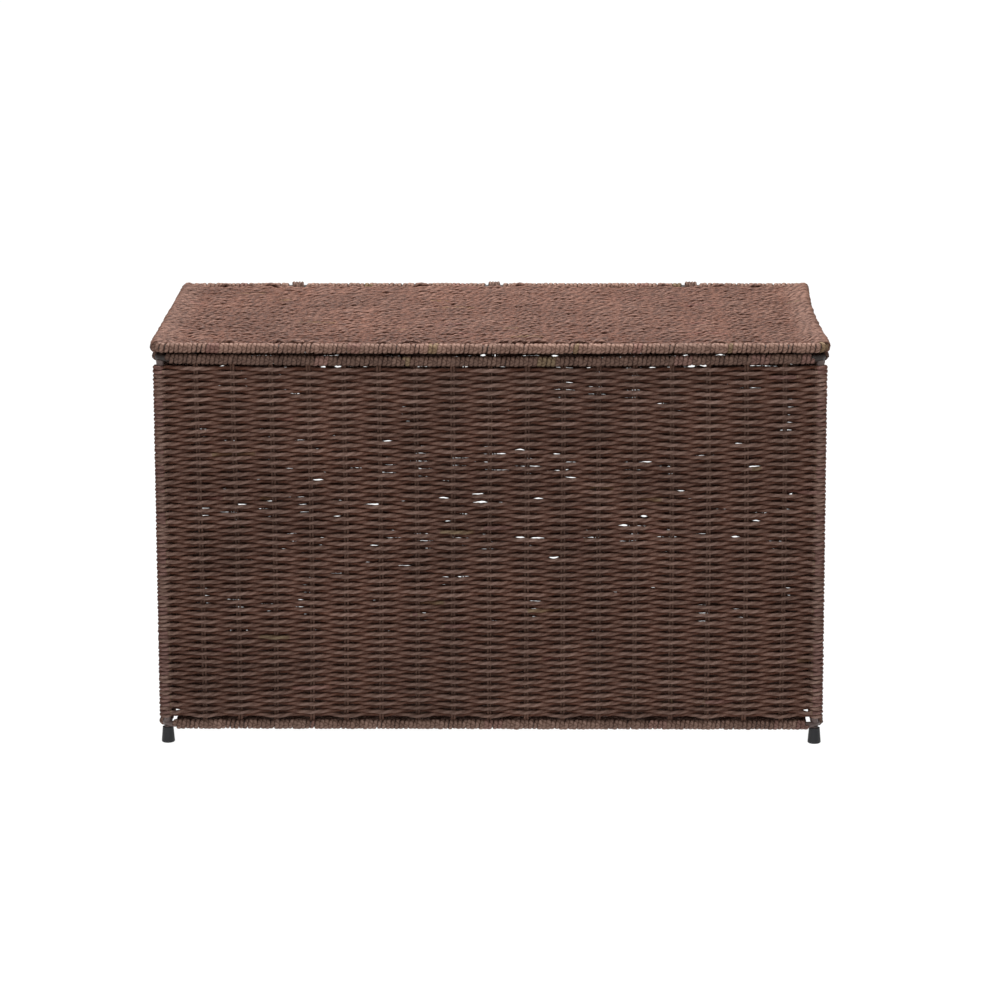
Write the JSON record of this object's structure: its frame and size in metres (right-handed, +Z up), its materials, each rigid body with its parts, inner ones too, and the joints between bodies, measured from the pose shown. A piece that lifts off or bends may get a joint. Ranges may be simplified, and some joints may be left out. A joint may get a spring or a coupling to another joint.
{
  "type": "wicker coffee table",
  "caption": "Low table in the form of a lidded storage chest, of twisted paper cord woven over a steel rod frame, on short rubber feet with a lid hinged at the back.",
  "frame": {"origin": "on the floor, under the middle of the chest", "axes": "+X along the width, to the right as seen from the front; +Y from the front to the hinged back; +Z up"},
  "size_m": [0.76, 0.42, 0.465],
  "materials": {
    "wall_cord": "matt twisted paper cord, dark brown",
    "lid_cord": "matt twisted paper cord, reddish brown",
    "rim_cord": "matt twisted paper cord, wound flat",
    "stake_wire": "paper-covered wire",
    "steel": "satin dark brown paint",
    "rubber": "matt black"
  },
  "bodies": {
    "chest": {"back_stakes": "stake_wire", "back_weave": "wall_cord", "bottom_rod_back": "steel", "bottom_rod_front": "steel", "bottom_rod_left": "steel", "bottom_rod_right": "steel", "bottom_wrap_back": "rim_cord", "bottom_wrap_front": "rim_cord", "bottom_wrap_left": "rim_cord", "bottom_wrap_right": "rim_cord", "corner_post_back_left": "steel", "corner_post_back_right": "steel", "corner_post_front_left": "steel", "corner_post_front_right": "steel", "corner_wrap_back_left": "wall_cord", "corner_wrap_back_right": "wall_cord", "corner_wrap_front_left": "wall_cord", "corner_wrap_front_right": "wall_cord", "floor_bars": "steel", "floor_stakes": "stake_wire", "floor_weave": "wall_cord", "foot_back_left": "rubber", "foot_back_right": "rubber", "foot_front_left": "rubber", "foot_front_right": "rubber", "front_stakes": "stake_wire", "front_weave": "wall_cord", "hinge_lashing_1": "rim_cord", "hinge_lashing_2": "rim_cord", "hinge_lashing_3": "rim_cord", "left_stakes": "stake_wire", "left_weave": "wall_cord", "leg_stubs": "steel", "right_stakes": "stake_wire", "right_weave": "wall_cord", "top_rod_back": "steel", "top_rod_front": "steel", "top_rod_left": "steel", "top_rod_right": "steel", "top_wrap_back": "rim_cord", "top_wrap_front": "rim_cord", "top_wrap_left": "rim_cord", "top_wrap_right": "rim_cord"},
    "lid": {"lid_bars": "steel", "lid_rod_back": "steel", "lid_rod_front": "steel", "lid_rod_left": "steel", "lid_rod_right": "steel", "lid_stakes": "stake_wire", "lid_weave": "lid_cord", "lid_wrap_back": "rim_cord", "lid_wrap_front": "rim_cord", "lid_wrap_left": "rim_cord", "lid_wrap_right": "rim_cord"}
  },
  "joints": [
    {"name": "lid_hinge", "type": "hinge", "parent": "chest", "child": "lid", "pos_m": [0, 0.2044, 0.4594], "axis": [-1, 0, 0], "range_deg": [0, 180]}
  ]
}
